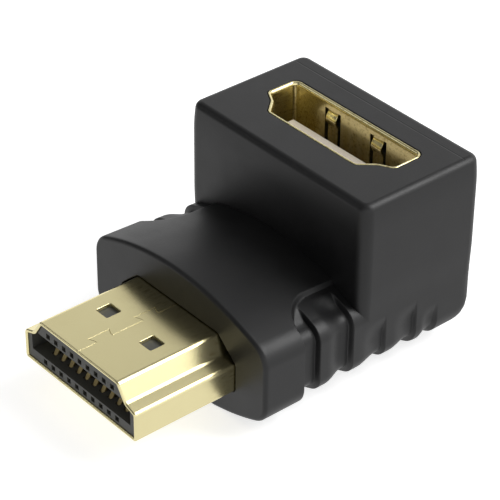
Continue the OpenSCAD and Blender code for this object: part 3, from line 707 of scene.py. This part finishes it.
# floor, light and camera
studio = {
    "floorHalf": 0.6, "floorWhite": 0.86, "floorDim": 0.84, "floorGlow": 0.72, "fill": 0.2,
    # in mirrors the floor glows evenly and hardly takes light
    "mirrorFloor": 0.93, "mirrorBase": 0.05,
    # the sky in mirrors is dark towards the front left, where X and Y add up to little
    "frontLeft": 0.12, "frontLeftEdge": (-1.05, -0.35),
    # the sky that mirrors show: sine of the height, brightness
    "sky": ((0.0, 1.3), (0.3, 1.3), (0.57, 0.74), (0.82, 0.25), (0.95, 0.1)),
    "lamps": (  # place, size, power in watts, aimed at the middle of the part
        ((0.24, 0.22, 0.26), 0.17, 0.55),
        ((0.16, 0.20, 0.36), 0.20, 0.6),
        ((0.02, 0.05, 0.42), 0.30, 0.15),
        ((-0.25, -0.23, 0.21), 0.10, 0.04),
    ),
}
view = {
    "azimuth": 49.396, "elevation": 34.511, "roll": 0.595, "distance": 0.173461, "focal": 161.566,
    "aim": (0.0, 0.000275, 0.011845), "slideRight": -0.000633, "slideUp": 0.001930,
    "sensor": 36, "nearest": 0.01,
}


def grey(bright):
    return (bright,) * 3


def seenRays(paint):  # two masks: seen by the camera itself, and seen by reflection or through glass
    rays = paint.node("ShaderNodeLightPath")
    mirrored = paint.maths("MINIMUM", rays["Is Glossy Ray"] + rays["Is Transmission Ray"], 1.0)
    return rays["Is Camera Ray"], mirrored


def makeFloor():
    half = studio["floorHalf"] / mm
    corners = np.array([(-half, -half, 0), (half, -half, 0), (half, half, 0), (-half, half, 0)])
    floor = makePiece("floor", [(corners, [[0, 1, 2, 3]])])
    paint = Paint("floorWhite", roughness=0.9, specular=0.0)
    faint = paint.grain(40) * 0.02
    seen, mirrored = seenRays(paint)
    paint.shader.inputs["Emission Strength"].default_value = 1.0
    white = paint.mixed(faint, grey(studio["floorWhite"]), grey(studio["floorDim"]))
    base = paint.mixed(mirrored, white, grey(studio["mirrorBase"]))
    inMirror = paint.mixed(mirrored, grey(0.0), grey(studio["mirrorFloor"]))
    paint.drive(Base_Color=base, Emission_Color=paint.mixed(seen, inMirror, grey(studio["floorGlow"])))
    floor.data.materials.append(paint.material)


class Sky(Paint):  # the world's own tree, in which a Background takes the place of the shader
    def __init__(self, world):
        world.use_nodes = True
        self.tree = world.node_tree


def makeWorld():
    world = bpy.data.worlds.new("studio")
    bpy.context.scene.world = world
    sky = Sky(world)
    background = sky.tree.nodes["Background"]
    seen, mirrored = seenRays(sky)
    toward = sky.node("ShaderNodeSeparateXYZ", {}, {0: sky.node("ShaderNodeTexCoord")["Generated"]})
    stops = [(at, grey(bright)) for at, bright in studio["sky"]]
    dome = sky.node("ShaderNodeValToRGB", {"stops": stops}, {"Fac": toward["Z"]})["Color"]
    lit = sky.step(toward["X"] + toward["Y"], *studio["frontLeftEdge"])
    dome = sky.mixed(lit, grey(studio["frontLeft"]), dome)
    colour = sky.mixed(seen, sky.mixed(mirrored, grey(studio["fill"]), dome), grey(1.0))
    sky.plug(background.inputs["Color"], colour)
    background.inputs["Strength"].default_value = 1.0


def makeLamps():
    for k, (place, size, power) in enumerate(studio["lamps"]):
        light = bpy.data.lights.new(f"lamp{k}", "AREA")
        light.shape, light.size, light.energy = "SQUARE", size, power
        lamp = bpy.data.objects.new(f"lamp{k}", light)
        lamp.location = place
        aim = Vector(view["aim"]) - Vector(place)
        lamp.rotation_mode = "QUATERNION"
        lamp.rotation_quaternion = aim.to_track_quat("-Z", "Y")
        bpy.context.scene.collection.objects.link(lamp)


def makeCamera():
    # the camera looks along minus back; right and up are turned by the photograph's slight roll
    a, e, roll = (np.radians(view[key]) for key in ("azimuth", "elevation", "roll"))
    back = np.array([np.sin(a) * np.cos(e), -np.cos(a) * np.cos(e), np.sin(e)])
    flat = np.array([np.cos(a), np.sin(a), 0])
    right = np.cos(roll) * flat + np.sin(roll) * np.cross(back, flat)
    up = np.cross(back, right)
    slide = right * view["slideRight"] + up * view["slideUp"]
    place = np.array(view["aim"]) + back * view["distance"] - slide
    data = bpy.data.cameras.new("camera")
    data.lens, data.sensor_width, data.clip_start = view["focal"], view["sensor"], view["nearest"]
    camera = bpy.data.objects.new("camera", data)
    turned = Matrix((right, up, back)).transposed().to_4x4()
    turned.translation = place
    camera.matrix_world = turned
    bpy.context.scene.collection.objects.link(camera)
    bpy.context.scene.camera = camera


makeFloor()
makeWorld()
makeLamps()
makeCamera()
bpy.context.scene.view_settings.view_transform = "Standard"
print("stage set")
